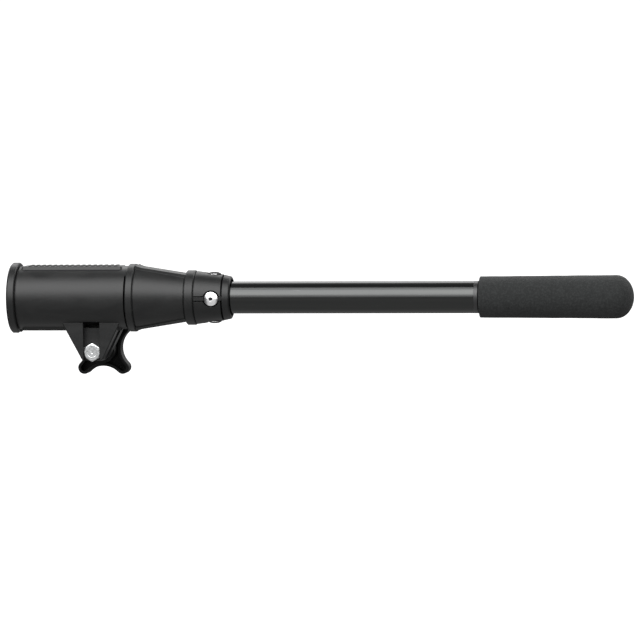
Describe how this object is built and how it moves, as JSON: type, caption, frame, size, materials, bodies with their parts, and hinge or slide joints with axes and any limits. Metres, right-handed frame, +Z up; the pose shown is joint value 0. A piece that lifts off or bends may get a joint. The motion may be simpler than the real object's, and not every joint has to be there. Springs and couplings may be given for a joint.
{
  "type": "tiller extension handle",
  "caption": "Telescoping extension handle that clamps over a boat motor's tiller grip by a split socket with a bolt and hand knob, with a twist lock and a foam grip.",
  "frame": {"origin": "centre of the tiller socket's mouth, on the socket bore's axis", "axes": "+X runs along the handle from the socket's mouth to the foam grip; +Z is up, away from the clamp ears, which hang down; the bolt's head is on the -Y side and the knob on the +Y side"},
  "size_m": [0.4313, 0.0635, 0.0796],
  "materials": {
    "socket_nylon": "satin black glass-filled nylon with a fine moulded grain",
    "knob_nylon": "satin black moulded nylon",
    "black_acetal": "smooth black acetal",
    "natural_acetal": "smooth natural acetal",
    "black_anodised": "polished and black anodised, with fine draw lines",
    "satin_anodised": "satin black anodised",
    "turned_aluminium": "turned",
    "rivet_aluminium": "bright, lightly brushed",
    "rivet_steel": "plain, dull",
    "zinc_steel": "bright zinc plated",
    "spring_steel": "dark spring steel",
    "insert_brass": "turned",
    "grip_foam": "closed-cell foam with a fine open skin"
  },
  "bodies": {
    "socket": {"tiller_socket": "socket_nylon", "collar_key_ring": "socket_nylon", "outer_tube": "black_anodised", "guide_bush": "black_acetal", "tube_end_plug": "black_acetal", "clamp_bolt": "zinc_steel", "drive_rivet_top": "rivet_aluminium", "drive_rivet_front": "rivet_aluminium", "drive_rivet_bottom": "rivet_aluminium", "drive_rivet_back": "rivet_aluminium", "rivet_pin_top": "rivet_steel", "rivet_pin_front": "rivet_steel", "rivet_pin_bottom": "rivet_steel", "rivet_pin_back": "rivet_steel"},
    "washer": {"knob_washer": "zinc_steel"},
    "knob": {"clamp_knob": "knob_nylon", "knob_insert": "insert_brass"},
    "lock": {"lock_sleeve": "natural_acetal"},
    "grip": {"inner_tube": "satin_anodised", "foam_grip": "grip_foam", "grip_end_plug": "black_acetal", "lock_plug": "black_acetal", "plug_roll_pin": "spring_steel", "lock_stud": "zinc_steel", "stop_washer": "zinc_steel"},
    "wedge": {"wedge_nut": "turned_aluminium"}
  },
  "joints": [
    {"name": "knob_travel", "type": "slide", "parent": "socket", "child": "washer", "axis": [0, 1, 0], "range_m": [0, 0.0052]},
    {"name": "knob_turn", "type": "hinge", "parent": "washer", "child": "knob", "pos_m": [0.0578, 0, -0.0371], "axis": [0, 1, 0], "range_deg": [0, 1440]},
    {"name": "telescope", "type": "slide", "parent": "socket", "child": "lock", "axis": [1, 0, 0], "range_m": [0, 0.2032]},
    {"name": "twist_lock", "type": "hinge", "parent": "lock", "child": "grip", "pos_m": [0.1, 0, 0], "axis": [1, 0, 0], "range_deg": [0, 360]},
    {"name": "wedge_travel", "type": "slide", "parent": "lock", "child": "wedge", "axis": [1, 0, 0], "range_m": [-0.00101, 0]}
  ],
  "couplings": [
    {"joint": "knob_travel", "follows": "knob_turn", "m_per_rad": 0.00020213},
    {"joint": "wedge_travel", "follows": "twist_lock", "m_per_rad": -0.00015915}
  ]
}
